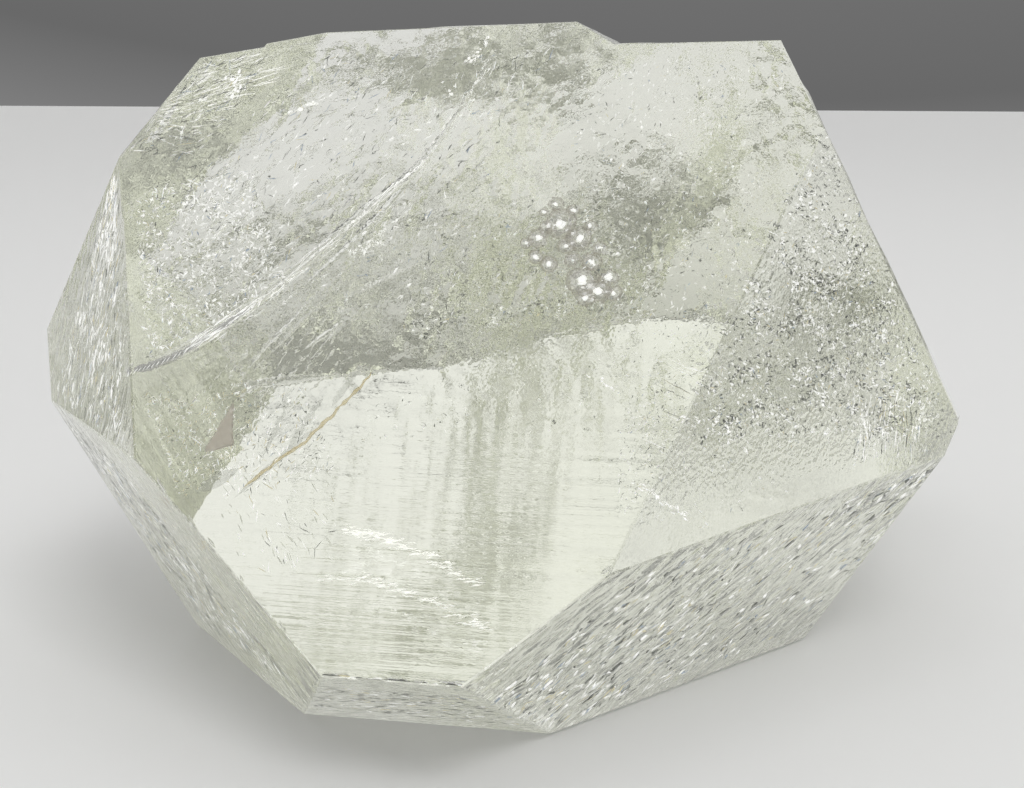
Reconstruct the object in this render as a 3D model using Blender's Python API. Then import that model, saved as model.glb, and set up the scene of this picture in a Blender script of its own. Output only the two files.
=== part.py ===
"""Quartz point: one clear quartz crystal lying on a prism face.

Sizes are in millimetres, turned into metres by MM. +Z is up and the crystal's
long axis runs along Y: the point faces -Y and the broken root faces +Y. The
origin ends at the middle of the model's box, on the flat face underneath.
"""

import math
import random

import bmesh
import bpy
from mathutils import Matrix, Vector, noise

MM = 0.001
NAME = "quartz_point"
BLOCK = 240.0  # side of the block that the flat faces are cut from

# Flat faces: azimuth and elevation of the outward normal in degrees, then the
# distance of the face from the crystal's own centre line in millimetres.
# A perfect crystal has prism faces 60 degrees apart, and each face of its point
# lies over one of them, leaning 38.2 degrees towards the long axis.
POINT_FACES = {
    "big_face": (-90.5, 44.5, 20.55),
    "upper_right": (-44.3, 18.2, 22.3),
    "lower_right": (-41.2, -24.8, 13.1),
    "lowest": (-90.8, -53.5, 8.45),
    "lower_left": (-137.4, -25.2, 13.95),
    "upper_left": (-135.7, 20.2, 26.15),
}
PRISM_FACES = {
    "underside": (0.0, -90.0, 0.0),
    "lower_right": (4.3, -32.8, 18.25),
    "upper_right": (-1.1, 27.2, 34.2),
    "top": (180.0, 87.7, 40.25),
    "top_left": (180.0, 79.4, 41.45),
    "upper_left": (178.7, 26.4, 36.4),
    "lower_left": (-179.9, -30.5, 16.75),
}
ROOT_FACES = {
    "root": (121.8, 10.0, 36.0),
    "root_right": (70.0, 6.0, 51.0),
    "root_left": (152.0, 25.0, 38.6),
}

# Terraces along the top, each lower than the ridge between them: x and z of the
# inner corner, then the slopes of the riser and of the terrace in degrees.
TERRACES = {
    "right_terrace": (7.5, 38.92, -29.4, 1.3),
    "left_terrace": (-17.1, 38.75, 64.0, 9.7),
}

# Growth ledges on the prism faces: they cross the long axis, as saw-tooth steps.
LEDGED_FACES = ("lower_right", "upper_right", "top", "upper_left", "lower_left")
LEDGE_START = 14.0  # along Y, behind the edge of the point
LEDGE_END = 46.0
LEDGE_LENGTH = (2.6, 8.5)
LEDGE_DEPTH = (0.12, 0.42)
LEDGE_GAP = 1.0
LEDGE_HEIGHT = 5.0  # of the cutter, above the face
LEDGE_WIDTH = 90.0
LEDGE_SKEW = 1.4  # degrees, either way
LEDGE_SEED = 11

# The broken root: shallow shell-shaped scoops that meet in sharp ridges. Their
# middles are spread over the root, and the deepest scoop wins at each place.
SCOOP_COUNT = 34
SCOOP_RADIUS = (9.0, 38.0)  # of the curve
SCOOP_DEPTH = (0.3, 3.4)
SCOOP_LEAN = 0.16  # slope that tips a scoop, either way
ROOT_GRAIN = (0.28, 0.45)  # height of the fine roughness and how often it repeats per mm
ROOT_CUTTER = (86.0, 62.0, 30.0)  # along the root, up it and behind it
ROOT_STEP = 1.25  # side of the cutter's squares
ROOT_SEED = 5

# Small chips: centre of a ball and its radius.
CHIPS = {
    "tip_chip": ((31.9, 5.2, 14.6), 1.1),
    "edge_chip": ((21.55, 5.1, 35.05), 0.75),
}


def clear_scene():
    for old in list(bpy.data.objects):
        bpy.data.objects.remove(old, do_unlink=True)


def new_collection(name):
    collection = bpy.data.collections.new(name)
    bpy.context.scene.collection.children.link(collection)
    return collection


def outward(azimuth, elevation):
    """Unit vector for an azimuth from +X and an elevation from level, in degrees."""
    turn = math.radians(azimuth)
    rise = math.radians(elevation)
    return Vector((math.cos(turn) * math.cos(rise), math.sin(turn) * math.cos(rise), math.sin(rise)))


def saw(body, normal, distance):
    """Cut the body along a plane and keep what lies behind its normal."""
    everything = body.verts[:] + body.edges[:] + body.faces[:]
    cut = bmesh.ops.bisect_plane(
        body, geom=everything, dist=1e-6, plane_co=normal * distance, plane_no=normal, clear_outer=True
    )
    rim = [item for item in cut["geom_cut"] if isinstance(item, bmesh.types.BMEdge)]
    bmesh.ops.contextual_create(body, geom=rim)


def to_object(body, name, collection):
    bmesh.ops.recalc_face_normals(body, faces=body.faces[:])
    bmesh.ops.scale(body, vec=Vector((MM, MM, MM)), verts=body.verts[:])
    mesh = bpy.data.meshes.new(name)
    body.to_mesh(mesh)
    body.free()
    made = bpy.data.objects.new(name, mesh)
    collection.objects.link(made)
    return made


def as_cutter(cutter):
    cutter.hide_render = True
    cutter.display_type = "WIRE"
    return cutter


def faceted_crystal(collection):
    """The bare crystal: a block sawn along every flat face."""
    body = bmesh.new()
    bmesh.ops.create_cube(body, size=BLOCK)
    for faces in (PRISM_FACES, POINT_FACES, ROOT_FACES):
        for azimuth, elevation, distance in faces.values():
            saw(body, outward(azimuth, elevation), distance)
    return to_object(body, NAME, collection)


def terrace_cutter(name, collection):
    """A wedge over a terrace, with its inner corner running along Y."""
    x, z, riser_slope, terrace_slope = TERRACES[name]
    corner = Vector((x, 0.0, z))
    body = bmesh.new()
    bmesh.ops.create_cube(body, size=BLOCK)
    bmesh.ops.translate(body, vec=corner, verts=body.verts[:])
    for slope in (riser_slope, terrace_slope):
        down = Vector((math.sin(math.radians(slope)), 0.0, -math.cos(math.radians(slope))))
        saw(body, down, down.dot(corner))
    return as_cutter(to_object(body, name, collection))


def face_axes(azimuth, elevation):
    """Rotation whose Z is the face's normal and whose Y runs along the crystal."""
    normal = outward(azimuth, elevation)
    along = (Vector((0.0, 1.0, 0.0)) - normal * normal.y).normalized()
    return Matrix((along.cross(normal), along, normal)).transposed()


def ledge_cutter(face, chance, collection):
    """Flat blocks in a row along one prism face, each tilted so that it bites in at one end."""
    azimuth, elevation, distance = PRISM_FACES[face]
    axes = face_axes(azimuth, elevation)
    body = bmesh.new()
    start = LEDGE_START + chance.uniform(0.0, LEDGE_GAP)
    while start < LEDGE_END:
        length = chance.uniform(*LEDGE_LENGTH)
        depth = chance.uniform(*LEDGE_DEPTH)
        tilt = math.atan2(depth, length) * chance.choice((-1.0, 1.0))
        skew = math.radians(chance.uniform(-LEDGE_SKEW, LEDGE_SKEW))
        turn = axes @ Matrix.Rotation(skew, 3, "Z") @ Matrix.Rotation(tilt, 3, "X")
        middle = axes @ Vector((0.0, start + length / 2, distance - depth / 2))
        place = Matrix.Translation(middle + turn @ Vector((0.0, 0.0, LEDGE_HEIGHT / 2)))
        size = Matrix.Diagonal((LEDGE_WIDTH, length, LEDGE_HEIGHT, 1.0))
        bmesh.ops.create_cube(body, size=1.0, matrix=place @ turn.to_4x4() @ size)
        start += length + LEDGE_GAP + chance.uniform(0.0, LEDGE_GAP)
    return as_cutter(to_object(body, "ledges_" + face, collection))


def ball(name, centre, radius, rings, collection):
    body = bmesh.new()
    bmesh.ops.create_uvsphere(body, u_segments=2 * rings, v_segments=rings, radius=radius)
    bmesh.ops.translate(body, vec=centre, verts=body.verts[:])
    return as_cutter(to_object(body, name, collection))


def scoops():
    """Middle, curve, depth and lean of every scoop, over the root face."""
    chance = random.Random(ROOT_SEED)
    width, height, _ = ROOT_CUTTER
    made = []
    for _ in range(SCOOP_COUNT):
        middle = Vector((chance.uniform(-width / 2, width / 2), chance.uniform(-height / 2, height / 2)))
        lean = Vector((chance.uniform(-SCOOP_LEAN, SCOOP_LEAN), chance.uniform(-SCOOP_LEAN, SCOOP_LEAN)))
        made.append((middle, chance.uniform(*SCOOP_RADIUS), chance.uniform(*SCOOP_DEPTH), lean))
    return made


def bite(place, hollows):
    """How deep the break goes at a place on the root face."""
    deepest = 0.0
    for middle, radius, depth, lean in hollows:
        off = place - middle
        deepest = max(deepest, depth + lean.dot(off) - off.length_squared / (2 * radius))
    height, often = ROOT_GRAIN
    grain = noise.noise(Vector((place.x, place.y, 0.0)) * often)
    return deepest + height * grain


def root_cutter(collection):
    """A block behind the root, whose near side has the shape of the break."""
    azimuth, elevation, distance = ROOT_FACES["root"]
    normal = outward(azimuth, elevation)
    level = Vector((0.0, 0.0, 1.0)).cross(normal).normalized()
    rise = normal.cross(level)
    middle = normal * distance + rise * (PRISM_FACES["top"][2] / 2)
    width, height, thickness = ROOT_CUTTER
    body = bmesh.new()
    bmesh.ops.create_grid(
        body, x_segments=round(width / ROOT_STEP), y_segments=round(height / ROOT_STEP), size=0.5
    )
    hollows = scoops()
    for vertex in body.verts:
        place = Vector((vertex.co.x * width, vertex.co.y * height))
        vertex.co = middle + level * place.x + rise * place.y - normal * bite(place, hollows)
    grown = bmesh.ops.extrude_face_region(body, geom=body.faces[:])
    far = [item for item in grown["geom"] if isinstance(item, bmesh.types.BMVert)]
    bmesh.ops.translate(body, vec=normal * thickness, verts=far)
    return as_cutter(to_object(body, "root_break", collection))


def cut_away(crystal, cutters):
    for cutter in cutters:
        cut = crystal.modifiers.new(cutter.name, "BOOLEAN")
        cut.operation = "DIFFERENCE"
        cut.solver = "EXACT"
        cut.object = cutter


def centre_on_box(crystal, cutters):
    """Move everything so that the cut crystal's box is centred on X and Y, standing on Z = 0."""
    cut = crystal.evaluated_get(bpy.context.evaluated_depsgraph_get())
    corners = [Vector(corner) for corner in cut.bound_box]
    shift = -(corners[0] + corners[6]) / 2
    shift.z = 0.0
    for item in [crystal, *cutters]:
        item.data.transform(Matrix.Translation(shift))


def quartz_material():
    material = bpy.data.materials.new("clear_quartz")
    material.use_nodes = True
    shader = material.node_tree.nodes["Principled BSDF"]
    shader.inputs["Base Color"].default_value = (0.93, 0.94, 0.92, 1.0)
    shader.inputs["Roughness"].default_value = 0.05
    shader.inputs["Metallic"].default_value = 0.0
    shader.inputs["IOR"].default_value = 1.544
    shader.inputs["Transmission Weight"].default_value = 1.0
    return material


def main():
    clear_scene()
    crystals = new_collection("Quartz point")
    helpers = new_collection("Cutters")
    crystal = faceted_crystal(crystals)
    crystal.data.materials.append(quartz_material())
    chance = random.Random(LEDGE_SEED)
    cutters = [terrace_cutter(name, helpers) for name in TERRACES]
    cutters += [ledge_cutter(face, chance, helpers) for face in LEDGED_FACES]
    cutters.append(root_cutter(helpers))
    cutters += [
        ball(name, Vector(centre), radius, 8, helpers) for name, (centre, radius) in CHIPS.items()
    ]
    cut_away(crystal, cutters)
    centre_on_box(crystal, cutters)


main()
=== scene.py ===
"""Clear quartz point on a pale floor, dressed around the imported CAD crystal.

The crystal lies on a prism face: +Z is up, the point faces -Y and the broken root
faces +Y. Lengths are in millimetres and turned into metres by MM.
"""

import math
import random

import bmesh
import bpy
from mathutils import Matrix, Vector, noise
from mathutils.bvhtree import BVHTree

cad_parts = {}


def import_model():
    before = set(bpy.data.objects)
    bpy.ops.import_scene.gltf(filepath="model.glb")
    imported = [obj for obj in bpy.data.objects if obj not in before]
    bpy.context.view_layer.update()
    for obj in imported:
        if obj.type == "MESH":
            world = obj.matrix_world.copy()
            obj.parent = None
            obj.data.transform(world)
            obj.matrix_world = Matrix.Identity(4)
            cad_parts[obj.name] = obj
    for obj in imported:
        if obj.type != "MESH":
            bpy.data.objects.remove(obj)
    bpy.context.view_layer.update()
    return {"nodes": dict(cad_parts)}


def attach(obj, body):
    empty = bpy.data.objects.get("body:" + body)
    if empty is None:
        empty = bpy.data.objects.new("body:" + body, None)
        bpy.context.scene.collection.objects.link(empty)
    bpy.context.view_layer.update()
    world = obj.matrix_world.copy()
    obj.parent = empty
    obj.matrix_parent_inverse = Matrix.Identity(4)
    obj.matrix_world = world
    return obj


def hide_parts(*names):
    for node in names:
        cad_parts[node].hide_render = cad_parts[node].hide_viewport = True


MM = 0.001
NODE = "quartz_point"

# Camera: the photograph's own viewpoint.
VIEW_AZIMUTH = 8.93
VIEW_ELEVATION = 12.0
VIEW_ROLL = 0.27
VIEW_AIM = (2.09, -13.46, 16.58)
VIEW_DISTANCE = 89.93
VIEW_ANGLE = 40.47  # degrees, across the picture
SENSOR = 36.0

# Light: a soft sky, darkest in front of the crystal and lightest above and behind it.
# Each step is how far up and back, then its brightness.
SKY = ((0.0, 0.90), (0.24, 0.62), (0.36, 0.24), (0.45, 0.14), (0.53, 0.16), (0.68, 0.76), (1.0, 0.86))
SKY_LEAN = 0.45  # how much being behind counts, against being above
# Lamps: place, side and power.
LAMPS = {"Key": ((0.22, -0.35, 0.60), 0.35, 1.3)}

# Crystal
IOR = 1.544
WELD = 1e-6
POINT, PRISM, ROOT = range(3)
POINT_FACES_BELOW = -0.4  # Y of the normal
ROOT_FACES_ABOVE = 0.2
# Planes that the broken root lies behind: azimuth, elevation and distance.
ROOT_PLANES = ((121.8, 10.0, 18.7), (70.0, 6.0, 37.4), (152.0, 25.0, 31.9))
ROOT_SLICE = 1.25
ROOT_CUTS = 4
COARSE_SMOOTHING = 5
FINE_SMOOTHING = 4
ROOT_HOLLOWS = ((2.0, 0.34), (0.9, 0.16))  # size and depth
ROOT_CREASES = (1.1, 0.26)
ROOT_GRAIN = (0.8, 0.07)
ROOT_WANDER = (9.0, 1.1)
PRISM_SLICE = 0.3
CROSS_SLICE = 3.0
POINT_SLICE = 2.0
GROWTH_LINES = ((0.9, 9.0, 0.018), (2.6, 30.0, 0.03), (1.2, 2.6, 0.016))  # pitch along Y, run across it, depth
UPPER_LINES = 6.0  # how much deeper they are away from the underside
GROWTH_STEPS = (1.9, 7.0, 0.012)
SWELL = (9.0, 0.012)
FLAT_ENOUGH = 0.9999
EDGE_WEAR = 0.08  # width of the worn edges of the point
EDGE_ANGLE = math.radians(12.0)

# Inside. Places are pixels of the photograph and a share of the way through the
# crystal along the bent sight line; other lengths are in mm.
PICTURE = (1024, 788)
RIBBONS = (
    # line, width in pixels at its ends, depth of its bow, tilt, height of its ribs, thickness
    (((133, 371, 0.06), (185, 351, 0.08), (250, 308, 0.12), (300, 268, 0.17), (370, 208, 0.24), (425, 160, 0.30), (490, 62, 0.36)), (15, 8), 0.42, 0.12, 0.06, 0.30),
    (((305, 285, 0.20), (345, 250, 0.24), (388, 205, 0.29), (440, 140, 0.35)), (4, 6), 0.2, -0.2, 0.0, 0.10),
)
RIBBON_STEPS = 240
STREAK_FIELDS = (
    # corners, slope and its spread, length in pixels, width in mm, roundness, count, shares, depth in mm
    (((150, 230), (330, 60), (560, 60), (300, 420)), 47, 8, (6, 30), (0.03, 0.22), 0.3, 330, (0.2, 0.95), (0, 0)),
    (((190, 400), (280, 300), (400, 300), (300, 380)), 52, 8, (5, 26), (0.03, 0.20), 0.3, 60, (0.15, 0.7), (0, 0)),
    (((280, 40), (580, 30), (600, 110), (300, 130)), 12, 8, (8, 34), (0.04, 0.15), 0.3, 120, (0.3, 0.9), (0, 0)),
    (((700, 300), (790, 170), (930, 380), (700, 430)), 70, 40, (3, 10), (0.05, 0.25), 0.5, 220, (0, 0), (0.5, 3.0)),
    (((195, 455), (330, 455), (330, 560), (240, 560)), 120, 10, (4, 14), (0.03, 0.10), 0.5, 40, (0.1, 0.6), (0, 0)),
    (((135, 200), (260, 190), (290, 290), (150, 360)), 40, 40, (3, 12), (0.05, 0.40), 0.2, 170, (0.05, 0.4), (0, 0)),
    (((472, 692), (550, 727), (800, 628), (614, 576)), 40, 7, (6, 18), (0.10, 0.30), 0.7, 90, (0, 0), (0.4, 1.0)),
    (((614, 576), (800, 628), (944, 458), (940, 462)), 40, 7, (6, 18), (0.10, 0.30), 0.7, 60, (0, 0), (0.4, 1.0)),
    (((60, 412), (132, 462), (314, 682), (203, 622)), -54, 5, (8, 26), (0.06, 0.24), 0.7, 80, (0, 0), (0.4, 1.0)),
    (((114, 176), (120, 176), (131, 452), (56, 396)), 80, 8, (6, 22), (0.06, 0.24), 0.7, 60, (0, 0), (0.4, 1.0)),
    (((325, 682), (462, 692), (540, 728), (310, 708)), -4, 5, (8, 30), (0.06, 0.20), 0.7, 40, (0, 0), (0.4, 0.8)),
)
FACETS = {
    # direction, a pixel on it, slope of its streaks in the picture, how often the grain repeats
    # along and across them per mm, depth of the grain in mm
    "big_face": ((-90.5, 44.5), (560, 240), 45, (2.6, 2.6), 0.014),
    "upper_right": ((-44.3, 18.2), (820, 300), 60, (2.4, 3.2), 0.10),
    "lower_right": ((-41.2, -24.8), (720, 620), 40, (0.5, 1.5), 0.34),
    "lowest": ((-90.8, -53.5), (420, 705), -4, (0.4, 1.8), 0.22),
    "lower_left": ((-137.4, -25.2), (190, 540), -54, (0.35, 1.5), 0.34),
    "upper_left": ((-135.7, 20.2), (95, 300), 80, (0.45, 1.6), 0.22),
}
PATCH_SIZE = 3.5  # mm
PATCH_LEAST = 0.25
PATCH_MOST = 1.7
LEAVES = (
    # ends in pixels, width in mm, share
    ((232, 386), (330, 376), 0.8, 0.33),
    ((238, 398), (272, 380), 0.6, 0.32),
    ((239, 378), (322, 286), 0.35, 0.25),
    ((262, 362), (334, 288), 0.30, 0.26),
    ((252, 362), (276, 332), 0.25, 0.20),
    ((340, 300), (424, 262), 0.5, 0.30),
    ((376, 312), (426, 262), 0.2, 0.32),
    ((303, 350), (345, 320), 0.6, 0.28),
)
LONGEST_FLECK = 4.0
FLECK_COLOURS = {
    # dark and light colour, painted glow: light the flecks give out though they are no lamp
    # The white flecks glow most: painted glints and sparkle on top of real white feathers.
    "White_flecks_painted_glints": ((0.84, 0.86, 0.86), (1.0, 1.0, 0.98), 0.7),
    "Dark_flecks": ((0.26, 0.27, 0.25), (0.58, 0.59, 0.55), 0.0),
    "Yellow_flecks": ((0.80, 0.72, 0.46), (0.96, 0.90, 0.66), 0.30),
    "Blue_flecks": ((0.50, 0.60, 0.72), (0.72, 0.80, 0.92), 0.15),
}
FLECK_FIELDS = (
    # corners, slope and its spread, length in pixels, width in mm, shares, depths in mm, how many of each colour
    (((492, 702), (550, 727), (800, 628), (632, 582)), 40, 8, (4, 16), (0.05, 0.20), (0, 0), (0.2, 0.6), (220, 300, 80, 70)),
    (((632, 582), (800, 628), (944, 462), (936, 468)), 40, 8, (4, 16), (0.05, 0.20), (0, 0), (0.2, 0.6), (150, 200, 50, 50)),
    (((62, 416), (118, 466), (298, 690), (203, 622)), -54, 5, (6, 22), (0.06, 0.22), (0, 0), (0.2, 0.6), (240, 420, 60, 50)),
    (((112, 178), (116, 182), (124, 446), (56, 394)), 80, 8, (5, 20), (0.04, 0.14), (0, 0), (0.2, 0.6), (520, 60, 80, 40)),
    (((330, 688), (464, 697), (535, 727), (312, 708)), -4, 5, (4, 18), (0.05, 0.18), (0, 0), (0.2, 0.5), (90, 240, 40, 5)),
    (((700, 440), (800, 160), (930, 370), (945, 405)), 70, 45, (2, 6), (0.03, 0.10), (0, 0), (0.4, 2.0), (260, 220, 40, 30)),
    (((660, 480), (705, 445), (945, 410), (700, 535)), 80, 30, (2, 6), (0.03, 0.08), (0, 0), (0.4, 3.0), (60, 30, 15, 10)),
    (((150, 200), (330, 50), (560, 50), (400, 330)), 45, 22, (3, 14), (0.03, 0.10), (0.02, 0.3), (0, 0), (260, 220, 30, 70)),
    (((135, 190), (250, 170), (290, 290), (145, 360)), 45, 50, (2, 7), (0.03, 0.12), (0.02, 0.2), (0, 0), (900, 70, 30, 60)),
    (((560, 60), (790, 60), (732, 322), (590, 322)), 45, 50, (2, 6), (0.02, 0.10), (0.02, 0.3), (0, 0), (760, 260, 30, 60)),
    (((400, 210), (600, 190), (620, 300), (410, 330)), 45, 40, (2, 7), (0.03, 0.10), (0.02, 0.5), (0, 0), (140, 220, 10, 20)),
    (((610, 320), (720, 320), (690, 450), (620, 520)), 45, 50, (2, 4), (0.02, 0.06), (0.02, 0.2), (0, 0), (260, 260, 30, 10)),
    (((400, 320), (600, 292), (602, 312), (404, 342)), 15, 30, (2, 7), (0.04, 0.12), (0.3, 0.6), (0, 0), (50, 150, 5, 5)),
    (((380, 340), (620, 320), (600, 430), (360, 440)), 20, 50, (2, 6), (0.02, 0.07), (0.3, 0.8), (0, 0), (60, 150, 5, 0)),
    (((130, 150), (200, 60), (270, 55), (200, 160)), 20, 25, (4, 22), (0.03, 0.10), (0.05, 0.5), (0, 0), (90, 110, 10, 20)),
    (((225, 385), (300, 370), (335, 470), (225, 500)), 55, 35, (2, 9), (0.02, 0.08), (0.26, 0.4), (0, 0), (220, 130, 80, 10)),
    (((140, 392), (230, 390), (235, 470), (180, 500)), 60, 40, (2, 6), (0.02, 0.08), (0.26, 0.4), (0, 0), (230, 50, 90, 0)),
    (((850, 400), (925, 395), (930, 450), (850, 468)), 85, 12, (8, 24), (0.03, 0.10), (0, 0), (0.4, 1.5), (70, 20, 12, 5)),
    (((195, 440), (330, 455), (340, 560), (250, 580)), 120, 30, (3, 14), (0.02, 0.08), (0.05, 0.5), (0, 0), (60, 20, 15, 0)),
)
RIB_LINE = ((134, 371, 0.058), (158, 363, 0.066), (187, 350, 0.074))
RIB_COUNT = 22
RIB_REACH = (4.5, 9.0)  # to either side of the line, in pixels
# Crackle in the upper right face: thick in some clumps and thin between them.
CRACKLE_CORNERS = ((822, 132), (686, 440), (945, 428))
CRACKLE_BLUR = 7  # pixels
CRACKLE_CLUMP = 24.0  # pixels
CRACKLE_LENGTH = (2, 6)
CRACKLE_WIDTH = (0.05, 0.12)
CRACKLE_DEPTH = (0.4, 1.2)
CRACKLE_COUNTS = (2300, 2700, 200, 100)
WHITE_FIELDS = (
    # line that they follow, spread in pixels, slope, length in pixels, width in mm, count, shares
    (((345, 528), (400, 545), (480, 583)), 3, 2, (4, 16), (0.03, 0.09), 120, (0.86, 0.95)),
    (((320, 576), (395, 588), (485, 628)), 3, 2, (4, 14), (0.03, 0.08), 90, (0.86, 0.95)),
    (((168, 104), (210, 92), (262, 62)), 13, 16, (8, 40), (0.02, 0.08), 70, (0.2, 0.6)),
    (((232, 92), (240, 74)), 5, 70, (3, 9), (0.1, 0.3), 14, (0.2, 0.3)),
    (((464, 62), (478, 56), (490, 38)), 2, 60, (1, 4), (0.04, 0.12), 40, (0.3, 0.34)),
    (((448, 98), (456, 84)), 1, 60, (1, 3), (0.06, 0.16), 10, (0.3, 0.34)),
    (((643, 486), (660, 500), (690, 516)), 2, -38, (3, 12), (0.03, 0.08), 26, (0.02, 0.05)),
    (((352, 258), (384, 234), (412, 204)), 5, 55, (1, 6), (0.02, 0.08), 110, (0.25, 0.3)),
    (((190, 349), (220, 329), (250, 309)), 3.5, 34, (10, 30), (0.02, 0.07), 40, (0.07, 0.09)),
    (((250, 309), (300, 268), (335, 238)), 3.5, 40, (10, 34), (0.015, 0.05), 46, (0.12, 0.16)),
    (((335, 238), (390, 190), (425, 160)), 3.5, 42, (10, 34), (0.015, 0.05), 40, (0.20, 0.26)),
    (((425, 160), (456, 118), (490, 62)), 4.5, 58, (8, 26), (0.015, 0.05), 34, (0.28, 0.33)),
    (((600, 378), (612, 390)), 1, -50, (2, 5), (0.06, 0.16), 8, (0.02, 0.04)),
    (((290, 110), (312, 104)), 2, 12, (4, 12), (0.06, 0.2), 8, (0.3, 0.34)),
)
STRIPS = {
    # line with shares, steps, widths in mm, pleats in mm, dark and light colour, cover
    "Iron_stain": (
        ((243, 489, 0.22), (275, 462, 0.22), (302, 444, 0.23), (330, 417, 0.24), (352, 395, 0.25), (373, 372, 0.27)),
        120, (0.06, 0.38), 0.0, (0.70, 0.56, 0.24), (0.88, 0.80, 0.52), 0.5,
    ),
    "Ribbed_band": (
        ((134, 371, 0.062), (158, 363, 0.072), (185, 351, 0.082), (218, 330, 0.10), (250, 308, 0.122)),
        130, (0.50, 0.75), 0.09, (0.50, 0.49, 0.49), (0.90, 0.90, 0.90), 0.45,
    ),
}
GREY_LEAVES = (
    # ends in pixels, width in mm, share
    ((262, 458), (290, 400), 0.4, 0.36),
    ((284, 454), (324, 396), 0.5, 0.37),
    ((330, 408), (358, 370), 0.6, 0.38),
    ((236, 384), (332, 378), 0.7, 0.35),
    ((196, 492), (240, 468), 0.9, 0.22),
    ((205, 555), (232, 500), 0.5, 0.30),
)
FLAKE = ((203, 452, 0.20), (233, 403, 0.22), (233, 446, 0.22))
BUBBLES = (
    # x, y, radius in mm, share
    (561, 224, 0.85, 0.12), (579, 238, 0.72, 0.12), (539, 238, 0.55, 0.12), (536, 257, 0.40, 0.12),
    (549, 264, 0.46, 0.12), (556, 204, 0.40, 0.12), (592, 262, 0.55, 0.12), (582, 280, 0.80, 0.12),
    (598, 291, 0.62, 0.12), (609, 277, 0.48, 0.12), (572, 260, 0.42, 0.12), (613, 293, 0.45, 0.12),
    (526, 243, 0.32, 0.12), (600, 248, 0.42, 0.12), (585, 298, 0.46, 0.12), (574, 210, 0.36, 0.12),
    (548, 226, 0.40, 0.12), (566, 246, 0.46, 0.12), (590, 226, 0.34, 0.12), (544, 212, 0.26, 0.12),
)
CORE = 0.6  # share of a bubble's radius that its white core fills
# Radius of the shells of painted rim shade, as a share of a bubble's radius.
RIM_SHADE_SIZE = 1.3
DUST = (
    # box in pixels, count, radii in mm, shares
    ((520, 190, 640, 310), 60, (0.05, 0.2), (0.08, 0.16)),
    ((600, 320, 740, 500), 160, (0.02, 0.07), (0.02, 0.5)),
    ((640, 150, 780, 330), 160, (0.02, 0.07), (0.1, 0.7)),
)


def outward(azimuth, elevation):
    """Unit vector for an azimuth from +X and an elevation from level, in degrees."""
    turn = math.radians(azimuth)
    rise = math.radians(elevation)
    return Vector((math.cos(turn) * math.cos(rise), math.sin(turn) * math.cos(rise), math.sin(rise)))


# ---------------------------------------------------------------- camera and light


def make_camera():
    az, el, roll = (math.radians(a) for a in (VIEW_AZIMUTH, VIEW_ELEVATION, VIEW_ROLL))
    back = Vector((math.sin(az) * math.cos(el), -math.cos(az) * math.cos(el), math.sin(el)))
    right = Vector((math.cos(az), math.sin(az), 0.0))
    up = back.cross(right)
    turned_right = right * math.cos(roll) + up * math.sin(roll)
    turned_up = up * math.cos(roll) - right * math.sin(roll)
    data = bpy.data.cameras.new("Camera")
    data.sensor_width = SENSOR
    data.lens = SENSOR / (2 * math.tan(math.radians(VIEW_ANGLE) / 2))
    data.clip_start = 0.005
    camera = bpy.data.objects.new("Camera", data)
    axes = Matrix((turned_right, turned_up, back)).transposed().to_4x4()
    place = (Vector(VIEW_AIM) + back * VIEW_DISTANCE) * MM
    camera.matrix_world = Matrix.Translation(place) @ axes
    bpy.context.scene.collection.objects.link(camera)
    bpy.context.scene.camera = camera


def softbox(name, place, side, power):
    """A square lamp facing the crystal. It lights the floor, and the crystal shows only the sky."""
    data = bpy.data.lights.new(name, "AREA")
    data.size = side
    data.energy = power
    lamp = bpy.data.objects.new(name, data)
    lamp.location = place
    lamp.rotation_euler = (-Vector(place)).to_track_quat("-Z", "Y").to_euler()
    lamp.visible_transmission = False
    lamp.visible_glossy = False
    bpy.context.scene.collection.objects.link(lamp)


def make_studio():
    scene = bpy.context.scene
    scene.view_settings.view_transform = "Standard"
    world = bpy.data.worlds.new("Studio")
    world.use_nodes = True
    nodes, links = world.node_tree.nodes, world.node_tree.links
    place = nodes.new("ShaderNodeTexCoord")
    split = nodes.new("ShaderNodeSeparateXYZ")
    ramp = nodes.new("ShaderNodeValToRGB")
    height = nodes.new("ShaderNodeMath")
    height.operation = "MULTIPLY_ADD"
    height.inputs[1].default_value = SKY_LEAN
    links.new(place.outputs["Generated"], split.inputs["Vector"])
    links.new(split.outputs["Y"], height.inputs[0])
    links.new(split.outputs["Z"], height.inputs[2])
    links.new(height.outputs["Value"], ramp.inputs["Fac"])
    links.new(ramp.outputs["Color"], nodes["Background"].inputs["Color"])
    steps = ramp.color_ramp.elements
    steps.remove(steps[1])
    for i, (place_on, brightness) in enumerate(SKY):
        step = steps.new(place_on) if i else steps[0]
        step.position = place_on
        step.color = (brightness, brightness, brightness, 1.0)
    world.cycles.sampling_method = "NONE"
    scene.world = world
    mesh = bpy.data.meshes.new("Floor")
    half = 5.0
    mesh.from_pydata([(-half, -half, 0), (half, -half, 0), (half, half, 0), (-half, half, 0)], [], [(0, 1, 2, 3)])
    floor = bpy.data.objects.new("Floor", mesh)
    floor.location.z = -0.0002
    paper = bpy.data.materials.new("Pale_floor")
    paper.use_nodes = True
    shader = paper.node_tree.nodes["Principled BSDF"]
    shader.inputs["Base Color"].default_value = (0.88, 0.88, 0.87, 1.0)
    shader.inputs["Roughness"].default_value = 0.8
    mesh.materials.append(paper)
    scene.collection.objects.link(floor)
    for name, (place, side, power) in LAMPS.items():
        softbox(name, place, side, power)


# ---------------------------------------------------------------- crystal mesh


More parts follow.
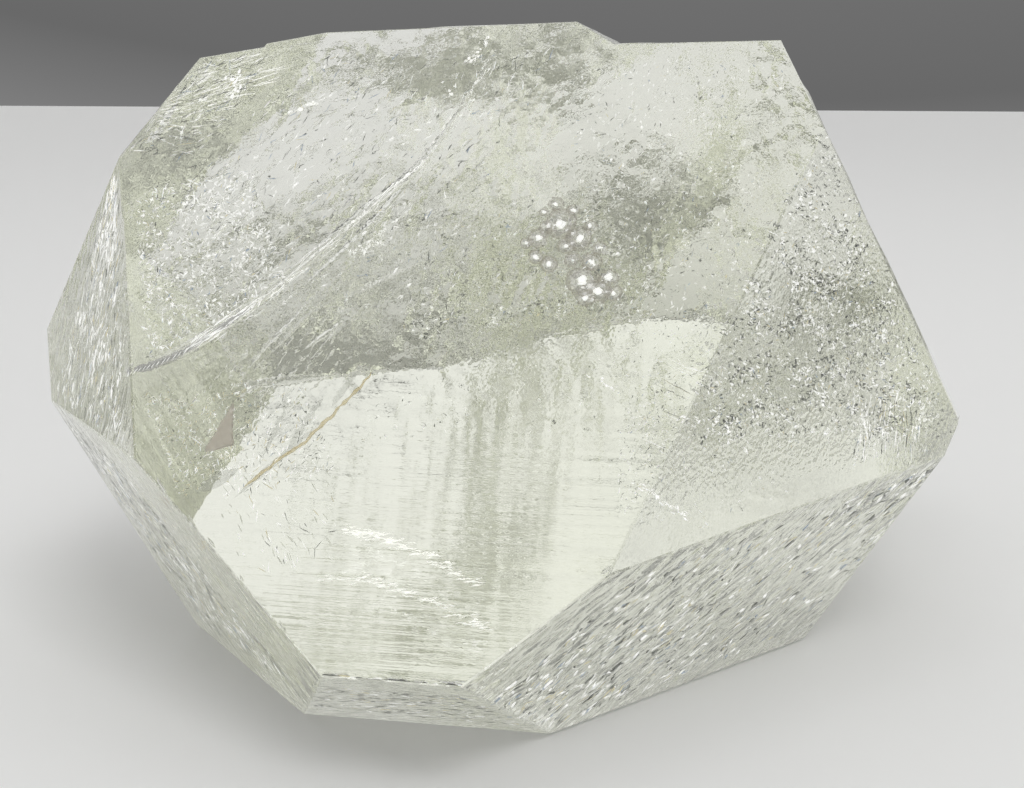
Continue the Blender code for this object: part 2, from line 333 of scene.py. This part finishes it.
def zone_of(face):
    """Which kind of surface a face of the CAD crystal belongs to."""
    if face.normal.y < POINT_FACES_BELOW:
        return POINT
    middle = face.calc_center_median()
    behind = any(middle.dot(outward(a, e)) > d * MM for a, e, d in ROOT_PLANES)
    if behind and face.normal.y > ROOT_FACES_ABOVE:
        return ROOT
    return PRISM


def faces_in(body, zone):
    layer = body.faces.layers.int["zone"]
    return [face for face in body.faces if face[layer] == zone]


def slice_zone(body, zone, direction, step, least=0.0):
    """Cut the faces of a zone along evenly spaced planes, leaving those shorter than least."""
    places = [v.co.dot(direction) for f in faces_in(body, zone) for v in f.verts]
    low, high = min(places), max(places)
    for i in range(1, int((high - low) / step) + 1):
        place = low + i * step
        near = []
        for face in faces_in(body, zone):
            along = [v.co.dot(direction) for v in face.verts]
            if min(along) < place < max(along) and max(along) - min(along) > least:
                near.append(face)
        edges = {e for f in near for e in f.edges}
        verts = {v for e in edges for v in e.verts}
        bmesh.ops.bisect_plane(
            body, geom=[*verts, *edges, *near], dist=1e-8, plane_co=direction * place, plane_no=direction
        )


def smooth_inside(body, zone, rounds):
    """Smooth the points of a zone, apart from its rim."""
    layer = body.faces.layers.int["zone"]
    loose = [v for v in body.verts if v.link_faces and all(f[layer] == zone for f in v.link_faces)]
    for _ in range(rounds):
        bmesh.ops.smooth_vert(
            body, verts=loose, factor=0.5, use_axis_x=True, use_axis_y=True, use_axis_z=True
        )


def refine_root(body):
    """Cut the broken root finely and round off the CAD model's squares."""
    layer = body.faces.layers.int["zone"]
    bmesh.ops.triangulate(body, faces=faces_in(body, ROOT))
    smooth_inside(body, ROOT, COARSE_SMOOTHING)
    inner = [e for e in body.edges if e.link_faces and all(f[layer] == ROOT for f in e.link_faces)]
    bmesh.ops.subdivide_edges(body, edges=inner, cuts=ROOT_CUTS, use_grid_fill=True)
    smooth_inside(body, ROOT, FINE_SMOOTHING)


def root_relief(place):
    """Height in mm of the break: shell-like hollows, drawn out upwards, with creases and grain on top."""
    drawn = Vector((place.x, place.y, place.z * 0.6 - place.x * 0.3))
    height = 0.0
    for size, depth in ROOT_HOLLOWS:
        nearest = noise.voronoi(drawn / size)[0][0]
        height += depth * (nearest * nearest - 0.3)
    size, depth = ROOT_CREASES
    height += depth * (0.25 - abs(noise.noise(drawn / size)))
    for size, depth in (ROOT_GRAIN, ROOT_WANDER):
        height += depth * noise.noise(place / size)
    return height


def prism_relief(place):
    """Height in mm of the growth lines and steps that cross the prism faces."""
    height = 0.0
    for pitch, run, depth in GROWTH_LINES:
        height += depth * noise.noise(Vector((place.x / run, place.y / pitch, place.z / run)))
    pitch, run, depth = GROWTH_STEPS
    wander = 0.6 * noise.noise(place / run)
    height += depth * noise.cell(Vector((0.0, place.y / pitch + wander, 0.0)))
    return height * (1.0 + (UPPER_LINES - 1.0) * ramp(place.z, 1.0, 24.0))


def point_relief(place):
    """Height in mm of the slow swell of the point's faces."""
    return SWELL[1] * noise.noise(place / SWELL[0])


def add_relief(body):
    """Move the inside points of every zone along their face; its rim stays on the CAD edges."""
    layer = body.faces.layers.int["zone"]
    reliefs = {POINT: point_relief, PRISM: prism_relief, ROOT: root_relief}
    moves = []
    for vertex in body.verts:
        faces = vertex.link_faces
        zone = faces[0][layer]
        if any(f[layer] != zone for f in faces):
            continue
        normal = sum((f.normal for f in faces), Vector()).normalized()
        if zone != ROOT and any(f.normal.dot(normal) < FLAT_ENOUGH for f in faces):
            continue
        moves.append((vertex, normal * reliefs[zone](vertex.co / MM) * MM))
    for vertex, move in moves:
        vertex.co += move


def ramp(value, low, high):
    """0 below low, 1 above high and smooth between."""
    t = min(1.0, max(0.0, (value - low) / (high - low)))
    return t * t * (3.0 - 2.0 * t)


def patchy(place):
    """How strong the grain is at a place: it comes and goes in patches."""
    return PATCH_LEAST + (PATCH_MOST - PATCH_LEAST) * ramp(noise.noise(place / PATCH_SIZE), -0.35, 0.35)


def grain_of(normal, zone, sight):
    """The fine grain of a face: a matrix that gives its place in the noise, and a function for its depth in mm."""
    if zone == ROOT:
        return Matrix.Diagonal((2.4, 2.4, 2.4)), lambda place: 0.13
    if zone == PRISM:
        return Matrix.Diagonal((0.12, 4.0, 0.12)), lambda place: 0.022
    name = max(FACETS, key=lambda n: outward(*FACETS[n][0]).dot(normal))
    facing, (x, y), slope, (along, across), depth = FACETS[name]
    turn = math.radians(slope)
    streak = sight.line(x + 4 * math.cos(turn), y - 4 * math.sin(turn))[0] - sight.line(x, y)[0]
    streak.normalize()
    beside = outward(*facing).cross(streak)
    texture = Matrix((streak * along, beside * across, outward(*facing) * across))
    if name == "big_face":
        return texture, lambda place: depth * patchy(place) * (0.2 + 0.8 * ramp(place.z, 14.0, 24.0))
    if name == "upper_right":
        return texture, lambda place: depth * patchy(place) * (0.2 + 0.8 * ramp(place.z, 10.0, 18.0))
    return texture, lambda place: depth


def taken_out(place):
    """Colour that the surface takes out of the light: less red high up behind, less blue at the left."""
    cloud = 0.5 + 0.5 * noise.noise(place / 6.0)
    cool = ramp(place.z, 20.0, 34.0) * ramp(place.y, 0.0, 20.0) * cloud
    warm = ramp(-place.x, 0.0, 22.0) * ramp(-place.z, -26.0, -12.0)
    pink = ramp(-place.x, 18.0, 26.0) * ramp(place.z, 16.0, 24.0)
    return (0.16 * cool, 0.03 * cool + 0.02 * warm + 0.03 * pink, 0.04 * cool + 0.07 * warm, 1.0)


def make_crystal(node, sight):
    body = bmesh.new()
    body.from_mesh(node.data)
    bmesh.ops.remove_doubles(body, verts=body.verts, dist=WELD)
    bmesh.ops.dissolve_limit(body, angle_limit=math.radians(0.15), verts=body.verts, edges=body.edges)
    layer = body.faces.layers.int.new("zone")
    for face in body.faces:
        face[layer] = zone_of(face)
    worn = [
        edge
        for edge in body.edges
        if any(f[layer] == POINT for f in edge.link_faces) and edge.calc_face_angle() > EDGE_ANGLE
    ]
    rounded = bmesh.ops.bevel(body, geom=worn, offset=EDGE_WEAR * MM, segments=1, affect="EDGES")
    for face in rounded["faces"]:
        face[layer] = POINT
    for slope in (35.0, 125.0):
        slice_zone(body, PRISM, outward(0.0, slope), CROSS_SLICE * MM)
    for direction in (Vector((0.0, 0.0, 1.0)), Vector((0.55, -0.84, 0.0))):
        slice_zone(body, ROOT, direction, ROOT_SLICE * MM, 2 * ROOT_SLICE * MM)
    for slope in (0.0, 60.0, 120.0):
        slice_zone(body, POINT, outward(0.0, slope), POINT_SLICE * MM)
    slice_zone(body, PRISM, Vector((0.0, 1.0, 0.0)), PRISM_SLICE * MM)
    refine_root(body)
    add_relief(body)
    mesh = bpy.data.meshes.new("Quartz_crystal")
    body.to_mesh(mesh)
    zones = [face[layer] for face in body.faces]
    for poly, zone in zip(mesh.polygons, zones):
        poly.use_smooth = zone == ROOT
    body.free()
    on_root = [float(zone == ROOT) for zone in zones]
    mesh.attributes.new("root", "FLOAT", "FACE").data.foreach_set("value", on_root)
    grain_at, grain = [], []
    for poly, zone in zip(mesh.polygons, zones):
        texture_at, depth_at = grain_of(poly.normal, zone, sight)
        for corner in poly.vertices:
            place = mesh.vertices[corner].co / MM
            grain_at.extend(texture_at @ place)
            grain.append(depth_at(place))
    mesh.attributes.new("grain_at", "FLOAT_VECTOR", "CORNER").data.foreach_set("vector", grain_at)
    mesh.attributes.new("grain", "FLOAT", "CORNER").data.foreach_set("value", grain)
    tint = mesh.attributes.new("tint", "FLOAT_COLOR", "POINT")
    for vertex in mesh.vertices:
        tint.data[vertex.index].color = taken_out(vertex.co / MM)
    crystal = bpy.data.objects.new("Quartz_crystal", mesh)
    bpy.context.scene.collection.objects.link(crystal)
    return crystal


# ---------------------------------------------------------------- inside the crystal


class Sight:
    """Finds places inside the crystal by where the photograph shows them."""

    def __init__(self, node):
        camera = bpy.context.scene.camera
        self.axes = camera.matrix_world.to_3x3()
        self.eye = camera.matrix_world.translation.copy()
        self.focal = PICTURE[0] / 2 / math.tan(math.radians(VIEW_ANGLE) / 2)
        self.tree = BVHTree.FromPolygons(
            [v.co for v in node.data.vertices], [p.vertices[:] for p in node.data.polygons]
        )

    def line(self, x, y):
        """Where the sight line through a pixel enters the crystal, its bent direction, and its length inside."""
        aim = Vector((x - PICTURE[0] / 2, PICTURE[1] / 2 - y, -self.focal))
        aim = (self.axes @ aim).normalized()
        entry, normal, _, _ = self.tree.ray_cast(self.eye, aim)
        if entry is None:
            return None
        cosine = -aim.dot(normal)
        bent = aim / IOR + normal * (cosine / IOR - math.sqrt(1 - (1 - cosine * cosine) / IOR**2))
        bent.normalize()
        far, _, _, length = self.tree.ray_cast(entry + bent * 1e-5, bent)
        return entry, bent, length

    def inside(self, x, y, share, depth=0.0):
        """The point in mm, a share of the way from the near surface to the far one and a depth beyond that."""
        found = self.line(x, y)
        if found is None or depth + 1 > found[2] / MM:
            return None
        entry, bent, length = found
        return (entry + bent * length * share) / MM + bent * depth


def smooth_line(points, count):
    """Points along a smooth curve through some places (Catmull-Rom)."""
    made = []
    padded = [2 * points[0] - points[1], *points, 2 * points[-1] - points[-2]]
    for i in range(count):
        t = i / (count - 1) * (len(points) - 1)
        k = min(int(t), len(points) - 2)
        t -= k
        a, b, c, d = padded[k : k + 4]
        made.append(
            0.5 * (2 * b + (c - a) * t + (2 * a - 5 * b + 4 * c - d) * t * t + (3 * b - a - 3 * c + d) * t**3)
        )
    return made


def swell(i, count):
    """0 at the first and last of some steps, and 1 half way."""
    return 1.0 - (2.0 * i / (count - 1) - 1.0) ** 2


def add_gap(body, rows, thickness):
    """A thin closed gap between two sheets that meet along their rim. rows is a grid of points."""
    tall, wide = len(rows), len(rows[0])
    sheets = []
    for side in (-0.5, 0.5):
        sheet = []
        for i, row in enumerate(rows):
            line = []
            for j, place in enumerate(row):
                down = rows[min(i + 1, tall - 1)][j] - rows[max(i - 1, 0)][j]
                along = row[min(j + 1, wide - 1)] - row[max(j - 1, 0)]
                normal = down.cross(along).normalized()
                rim = i in (0, tall - 1) or j in (0, wide - 1)
                if rim and sheets:
                    line.append(sheets[0][i][j])
                else:
                    open_by = 0.0 if rim else thickness * swell(i, tall) * min(1.0, 2.0 * swell(j, wide))
                    line.append(body.verts.new((place + normal * open_by * side) * MM))
            sheet.append(line)
        sheets.append(sheet)
    for side, sheet in enumerate(sheets):
        for i in range(tall - 1):
            for j in range(wide - 1):
                corners = [sheet[i][j], sheet[i][j + 1], sheet[i + 1][j + 1], sheet[i + 1][j]]
                body.faces.new(corners if side else corners[::-1]).smooth = True


def add_needle(body, start, end, wide, thick, flat, steps=4, sides=4, bluntness=0.5):
    """A long thin spindle, flattened along one direction."""
    axis = (end - start).normalized()
    side = axis.cross(flat).normalized()
    other = axis.cross(side)
    rings = []
    for i in range(1, steps):
        size = 0.5 * swell(i, steps + 1) ** bluntness
        middle = start.lerp(end, i / steps)
        ring = []
        for k in range(sides):
            turn = 2 * math.pi * k / sides
            off = side * math.cos(turn) * wide + other * math.sin(turn) * thick
            ring.append(body.verts.new((middle + off * size) * MM))
        rings.append(ring)
    tips = body.verts.new(start * MM), body.verts.new(end * MM)
    for k in range(sides):
        n = (k + 1) % sides
        body.faces.new((tips[0], rings[0][n], rings[0][k])).smooth = True
        body.faces.new((tips[1], rings[-1][k], rings[-1][n])).smooth = True
        for low, high in zip(rings, rings[1:]):
            body.faces.new((low[k], low[n], high[n], high[k])).smooth = True


def hollow_out(crystal, hollows):
    """Add closed hollows to the crystal. Their faces look inwards, as the quartz ends there."""
    bmesh.ops.recalc_face_normals(hollows, faces=hollows.faces)
    bmesh.ops.reverse_faces(hollows, faces=hollows.faces)
    extra = bpy.data.meshes.new("Hollows")
    hollows.to_mesh(extra)
    hollows.free()
    body = bmesh.new()
    body.from_mesh(crystal.data)
    body.from_mesh(extra)
    body.to_mesh(crystal.data)
    body.free()
    bpy.data.meshes.remove(extra)


def add_ribbons(body, sight):
    """The long curved fracture, ribbed at its near end."""
    for line, wide, depth, lean, ribs, thick in RIBBONS:
        middle = smooth_line([Vector((x, y, share)) for x, y, share in line], RIBBON_STEPS)
        rows = []
        for i in range(7):
            off = (i / 6 - 0.5) * 2
            row = []
            for j, spot in enumerate(middle):
                t = j / (len(middle) - 1)
                ahead = middle[min(j + 1, RIBBON_STEPS - 1)] - middle[max(j - 1, 0)]
                normal = Vector((-ahead.y, ahead.x, 0)).normalized()
                ends = min(1.0, 0.15 + 9 * t, 0.05 + 6 * (1 - t))
                width = (wide[0] + (wide[1] - wide[0]) * t) * ends
                x = spot.x + normal.x * off * width / 2
                y = spot.y + normal.y * off * width / 2
                place = sight.inside(x, y, spot.z)
                away = (place - sight.eye / MM).normalized()
                bow = (depth * off * off + lean * off) * ends + ribs * (-1) ** j * max(0.0, 1 - t * 5)
                row.append(place + away * bow)
            rows.append(row)
        add_gap(body, rows, thick)


def add_streaks(body, sight):
    """Fine slanting streaks, drawn out along the grain of the break."""
    chance = random.Random(3)
    for corners, slope, spread, length, wide, roundness, count, shares, depths in STREAK_FIELDS:
        for _ in range(count):
            s, t = chance.random(), chance.random()
            a, b, c, d = (Vector(corner) for corner in corners)
            x, y = a.lerp(b, s).lerp(d.lerp(c, s), t)
            turn = math.radians(slope + chance.gauss(0, spread))
            step = Vector((math.cos(turn), -math.sin(turn))) * chance.uniform(*length) / 2
            share, depth = chance.uniform(*shares), chance.uniform(*depths)
            start = sight.inside(x - step.x, y - step.y, share, depth)
            end = sight.inside(x + step.x, y + step.y, share, depth)
            if start is None or end is None:
                continue
            away = ((start + end) / 2 - sight.eye / MM).normalized()
            tilt = (away + Vector([chance.gauss(0, 0.4) for _ in range(3)])).normalized()
            width = chance.uniform(*wide)
            add_needle(body, start, end, width, width * roundness, tilt)


def add_ball(body, place, radius):
    """An uneven round body."""
    detail = 2 if radius > 0.2 else 1
    made = bmesh.ops.create_icosphere(
        body, subdivisions=detail, radius=radius * MM, matrix=Matrix.Translation(place * MM)
    )
    for vertex in made["verts"]:
        off = vertex.co - place * MM
        vertex.co = place * MM + off * (1 + 0.25 * noise.noise(place + off / MM * (0.9 / radius)))
        for face in vertex.link_faces:
            face.smooth = True


def add_bubbles(body, sight):
    """The cluster of bubbles against the root, and dust-like ones about it."""
    chance = random.Random(8)
    spots = []
    for x, y, radius, share in BUBBLES:
        spots.append((sight.inside(x, y, share), radius))
    for (x0, y0, x1, y1), count, radii, shares in DUST:
        for _ in range(count):
            x, y = chance.gauss((x0 + x1) / 2, (x1 - x0) / 4), chance.gauss((y0 + y1) / 2, (y1 - y0) / 4)
            spots.append((sight.inside(x, y, chance.uniform(*shares)), chance.uniform(*radii)))
    for place, radius in spots:
        if place is None:
            continue
        add_ball(body, place, radius)


def add_leaves(body, sight):
    """Leaf-shaped cleavage gaps."""
    chance = random.Random(4)
    for start, end, wide, share in LEAVES:
        start, end = sight.inside(*start, share), sight.inside(*end, share)
        away = ((start + end) / 2 - sight.eye / MM).normalized()
        tilt = (away + Vector([chance.gauss(0, 0.5) for _ in range(3)])).normalized()
        add_needle(body, start, end, wide, 0.08, tilt, 10, 8, 1.3)


def new_piece(body, name, material):
    bmesh.ops.recalc_face_normals(body, faces=body.faces)
    mesh = bpy.data.meshes.new(name)
    body.to_mesh(mesh)
    body.free()
    mesh.materials.append(material)
    piece = bpy.data.objects.new(name, mesh)
    bpy.context.scene.collection.objects.link(piece)
    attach(piece, "root")


def make_white_flaws(sight):
    """White flaws with a painted glow: short feathers and flakes strung along lines, and the bubbles' white cores."""
    chance = random.Random(21)
    body = bmesh.new()
    for line, spread, slope, length, wide, count, shares in WHITE_FIELDS:
        path = smooth_line([Vector(spot) for spot in line], 60)
        for _ in range(count):
            spot = chance.choice(path)
            x, y = spot.x + chance.gauss(0, spread), spot.y + chance.gauss(0, spread)
            turn = math.radians(slope + chance.gauss(0, 5))
            step = Vector((math.cos(turn), -math.sin(turn))) * chance.uniform(*length) / 2
            share = chance.uniform(*shares)
            start = sight.inside(x - step.x, y - step.y, share)
            end = sight.inside(x + step.x, y + step.y, share)
            if start is None or end is None:
                continue
            away = ((start + end) / 2 - sight.eye / MM).normalized()
            add_needle(body, start, end, chance.uniform(*wide), 0.03, away)
    for x, y, radius, share in BUBBLES:
        add_ball(body, sight.inside(x, y, share), radius * CORE)
    # The flaws and the white cores glow: painted light, not a lamp.
    new_piece(body, "White_flaws_painted_glow", fleck_material("White_flaws_painted_glow", (0.88, 0.90, 0.90), (1.0, 1.0, 0.98), 0.7))


def make_flecks(sight):
    """Short flecks of several colours, scattered over fields that slant as the picture shows."""
    chance = random.Random(17)
    bodies = [bmesh.new() for _ in FLECK_COLOURS]
    for corners, slope, spread, length, wide, shares, depths, counts in FLECK_FIELDS:
        a, b, c, d = (Vector(corner) for corner in corners)
        for body, count in zip(bodies, counts):
            for _ in range(count):
                s, t = chance.random(), chance.random()
                x, y = a.lerp(b, s).lerp(d.lerp(c, s), t)
                turn = math.radians(slope + chance.gauss(0, spread))
                step = Vector((math.cos(turn), -math.sin(turn))) * chance.uniform(*length) / 2
                share, depth = chance.uniform(*shares), chance.uniform(*depths)
                start = sight.inside(x - step.x, y - step.y, share, depth)
                end = sight.inside(x + step.x, y + step.y, share, depth)
                if start is None or end is None or (end - start).length > LONGEST_FLECK:
                    continue
                away = ((start + end) / 2 - sight.eye / MM).normalized()
                add_needle(body, start, end, chance.uniform(*wide), 0.04, away, 3, 3)
    a, b, c = (Vector(corner) for corner in CRACKLE_CORNERS)
    for body, count in zip(bodies, CRACKLE_COUNTS):
        for _ in range(count):
            reach, across = math.sqrt(chance.random()), chance.random()
            x, y = a + (b.lerp(c, across) - a) * reach
            x, y = x + chance.gauss(0, CRACKLE_BLUR), y + chance.gauss(0, CRACKLE_BLUR)
            if noise.noise(Vector((x, y, 0.0)) / CRACKLE_CLUMP) < chance.uniform(-0.45, 0.35):
                continue
            turn = chance.uniform(0.0, math.pi)
            step = Vector((math.cos(turn), -math.sin(turn))) * chance.uniform(*CRACKLE_LENGTH) / 2
            depth = chance.uniform(*CRACKLE_DEPTH)
            start = sight.inside(x - step.x, y - step.y, 0, depth)
            end = sight.inside(x + step.x, y + step.y, 0, depth)
            if start is None or end is None or (end - start).length > LONGEST_FLECK:
                continue
            away = ((start + end) / 2 - sight.eye / MM).normalized()
            add_needle(body, start, end, chance.uniform(*CRACKLE_WIDTH), 0.04, away, 3, 3)
    # Short needles across the ribbed band, alternately white and dark: painted light and shade on the two sides of its
    # ribs.
    path = smooth_line([Vector(spot) for spot in RIB_LINE], RIB_COUNT)
    for i, spot in enumerate(path):
        reach = RIB_REACH[0] + (RIB_REACH[1] - RIB_REACH[0]) * chance.random()
        start = sight.inside(spot.x - reach * 0.2, spot.y + reach * 0.5, spot.z)
        end = sight.inside(spot.x + reach * 0.6, spot.y - reach * 0.5, spot.z)
        away = (start - sight.eye / MM).normalized()
        add_needle(bodies[1 if i % 2 else 0], start, end, 0.05, 0.04, away, 3, 3)
    for body, (name, colours) in zip(bodies, FLECK_COLOURS.items()):
        new_piece(body, name, fleck_material(name, *colours))


def add_strip(body, sight, line, steps, wide, pleats):
    """A thin strip along a line, of uneven width and pleated across."""
    middle = smooth_line([Vector(spot) for spot in line], steps)
    rows = [[], [], []]
    for j, spot in enumerate(middle):
        jitter = 1.6 * noise.noise(Vector((j * 0.13, 0.0, 7.0)))
        uneven = 0.5 + 0.5 * noise.noise(Vector((j * 0.21, 4.0, 0.0)))
        width = (wide[0] + (wide[1] - wide[0]) * uneven) * min(1.0, 0.1 + 4.0 * swell(j, steps))
        place = sight.inside(spot.x + jitter, spot.y + jitter, spot.z)
        away = (place - sight.eye / MM).normalized()
        for i, row in enumerate(rows):
            row.append(place + Vector((-0.6, 0.0, 0.8)) * (i - 1) * width / 2 + away * pleats * (-1) ** j)
    add_gap(body, rows, 0.03)


def make_bubble_rims(sight):
    """Thin brown-grey shells about the bubbles' white cores that show mostly at their rims: painted shade at the
    bubbles' edges.
    """
    body = bmesh.new()
    for x, y, radius, share in BUBBLES:
        add_ball(body, sight.inside(x, y, share), radius * RIM_SHADE_SIZE)
    new_piece(body, "Bubble_rim_shade", film_material("Bubble_rim_shade", (0.34, 0.31, 0.26), (0.56, 0.52, 0.45), 0.8, True))


def make_films(sight):
    """Thin films in the cracks: a rusty line, a ribbed grey band, grey leaves and a small brown flake."""
    for name, (line, steps, wide, pleats, dark, light, clear) in STRIPS.items():
        body = bmesh.new()
        add_strip(body, sight, line, steps, wide, pleats)
        new_piece(body, name, film_material(name, dark, light, clear))
    body = bmesh.new()
    chance = random.Random(4)
    for start, end, wide, share in GREY_LEAVES:
        start, end = sight.inside(*start, share), sight.inside(*end, share)
        away = ((start + end) / 2 - sight.eye / MM).normalized()
        tilt = (away + Vector([chance.gauss(0, 0.3) for _ in range(3)])).normalized()
        add_needle(body, start, end, wide, 0.03, tilt, 10, 8, 1.2)
    new_piece(body, "Grey_leaves", film_material("Grey_leaves", (0.46, 0.47, 0.42), (0.74, 0.75, 0.70), 0.22))
    body = bmesh.new()
    a, b, c = (sight.inside(*spot) for spot in FLAKE)
    rows = []
    for i in range(13):
        t = i / 12
        row = []
        for j in range(13):
            place = a.lerp(b, t).lerp(a.lerp(c, t), j / 12)
            row.append(place + Vector((0, 1, 0)) * 0.25 * noise.noise(place * 0.9))
        rows.append(row)
    add_gap(body, rows[1:], 0.03)
    new_piece(body, "Brown_flake", film_material("Brown_flake", (0.52, 0.46, 0.40), (0.72, 0.67, 0.60), 0.6))


# ---------------------------------------------------------------- materials


class Tree:
    """Short forms for building a node tree."""

    def __init__(self, material):
        self.nodes = material.node_tree.nodes
        self.links = material.node_tree.links

    def add(self, kind, inputs=None, **settings):
        node = self.nodes.new("ShaderNode" + kind)
        for name, value in settings.items():
            setattr(node, name, value)
        for name, value in (inputs or {}).items():
            self.set(node.inputs[name], value)
        return node

    def set(self, socket, value):
        if isinstance(value, bpy.types.NodeSocket):
            self.links.new(value, socket)
        else:
            socket.default_value = value

    def maths(self, operation, first, second=0.0, third=0.0):
        node = self.add("Math", operation=operation)
        for socket, value in zip(node.inputs, (first, second, third)):
            self.set(socket, value)
        return node.outputs["Value"]

    def attribute(self, name):
        return self.add("Attribute", attribute_name=name).outputs["Fac"]

    def stretched(self, scale, turn=(0.0, 0.0, 0.0)):
        """Object coordinates in mm, times a scale for each axis."""
        place = self.add("TexCoord").outputs["Object"]
        return self.add(
            "Mapping", {"Vector": place, "Scale": [s / MM for s in scale], "Rotation": [math.radians(t) for t in turn]}
        ).outputs["Vector"]

    def noise(self, vector, scale=1.0, detail=3.0, roughness=0.5):
        return self.add(
            "TexNoise", {"Vector": vector, "Scale": scale, "Detail": detail, "Roughness": roughness}
        ).outputs["Fac"]


def quartz_material():
    material = bpy.data.materials.new("Clear_quartz")
    material.use_nodes = True
    tree = Tree(material)
    shader = tree.nodes["Principled BSDF"]
    texture = tree.noise(tree.add("Attribute", attribute_name="grain_at").outputs["Vector"], 1.0, 1.0, 0.7)
    height = tree.maths("MULTIPLY", texture, tree.attribute("grain"))
    bump = tree.add("Bump", {"Height": height, "Distance": MM})
    tree.set(shader.inputs["Normal"], bump.outputs["Normal"])
    tree.set(shader.inputs["Roughness"], tree.maths("MULTIPLY", tree.attribute("root"), 0.03))
    tint = tree.add("Invert", {"Color": tree.add("Attribute", attribute_name="tint").outputs["Color"]})
    tree.set(shader.inputs["Base Color"], tint.outputs["Color"])
    shader.inputs["IOR"].default_value = IOR
    shader.inputs["Transmission Weight"].default_value = 1.0
    absorb = tree.add("VolumeAbsorption", {"Color": (0.95, 0.985, 0.72, 1.0), "Density": 8.0})
    tree.set(tree.nodes["Material Output"].inputs["Volume"], absorb.outputs["Volume"])
    return material


def fleck_material(name, dark, light, painted_glow):
    """Tiny feathers, mottled from dark to light, with a painted glow that stands in for the light they scatter."""
    material = bpy.data.materials.new(name)
    material.use_nodes = True
    tree = Tree(material)
    shader = tree.nodes["Principled BSDF"]
    cloud = tree.noise(tree.stretched((1.5, 1.5, 1.5)), 1.0, 3.0, 0.6)
    tone = tree.add("Mix", data_type="RGBA")
    tree.set(tone.inputs["Factor"], cloud)
    tree.set(tone.inputs[6], (*dark, 1.0))
    tree.set(tone.inputs[7], (*light, 1.0))
    tree.set(shader.inputs["Base Color"], tone.outputs[2])
    tree.set(shader.inputs["Roughness"], tree.maths("MULTIPLY_ADD", cloud, 0.3, 0.2))
    # Painted glow: the flecks give out light in their light colour, though they are no lamp.
    shader.inputs["Emission Color"].default_value = (*light, 1.0)
    shader.inputs["Emission Strength"].default_value = painted_glow
    material.cycles.emission_sampling = "NONE"
    return material


def film_material(name, dark, light, cover, at_rim=False):
    """A stained film, mottled from dark to light, with a painted glow in its own tone. It covers a share of what lies
    behind it, or only its rim does.
    """
    material = bpy.data.materials.new(name)
    material.use_nodes = True
    tree = Tree(material)
    shader = tree.nodes["Principled BSDF"]
    mottle = tree.noise(tree.stretched((2.2, 2.2, 2.2)), 1.0, 4.0, 0.6)
    tone = tree.add("Mix", data_type="RGBA")
    tree.set(tone.inputs["Factor"], mottle)
    tree.set(tone.inputs[6], (*dark, 1.0))
    tree.set(tone.inputs[7], (*light, 1.0))
    tree.set(shader.inputs["Base Color"], tone.outputs[2])
    tree.set(shader.inputs["Roughness"], tree.maths("MULTIPLY_ADD", mottle, 0.3, 0.35))
    if at_rim:
        # The film covers most where it is seen edge-on, painting a dark ring round each bubble.
        facing = tree.add("LayerWeight", {"Blend": 0.3}).outputs["Facing"]
        cover = tree.maths("MULTIPLY", facing, cover)
    tree.set(shader.inputs["Alpha"], cover)
    # Painted glow: the film gives out light in its own tone, though it is no lamp.
    tree.set(shader.inputs["Emission Color"], tone.outputs[2])
    shader.inputs["Emission Strength"].default_value = 0.25
    material.cycles.emission_sampling = "NONE"
    return material


def main():
    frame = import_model()
    make_camera()
    make_studio()
    cycles = bpy.context.scene.cycles
    cycles.max_bounces = 9
    cycles.glossy_bounces = 8
    cycles.transmission_bounces = 9
    cycles.sampling_pattern = "TABULATED_SOBOL"
    sight = Sight(frame["nodes"][NODE])
    crystal = make_crystal(frame["nodes"][NODE], sight)
    crystal.data.materials.append(quartz_material())
    hollows = bmesh.new()
    add_ribbons(hollows, sight)
    add_streaks(hollows, sight)
    add_bubbles(hollows, sight)
    add_leaves(hollows, sight)
    hollow_out(crystal, hollows)
    make_white_flaws(sight)
    make_flecks(sight)
    make_bubble_rims(sight)
    make_films(sight)
    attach(crystal, "root")
    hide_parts(NODE)


main()
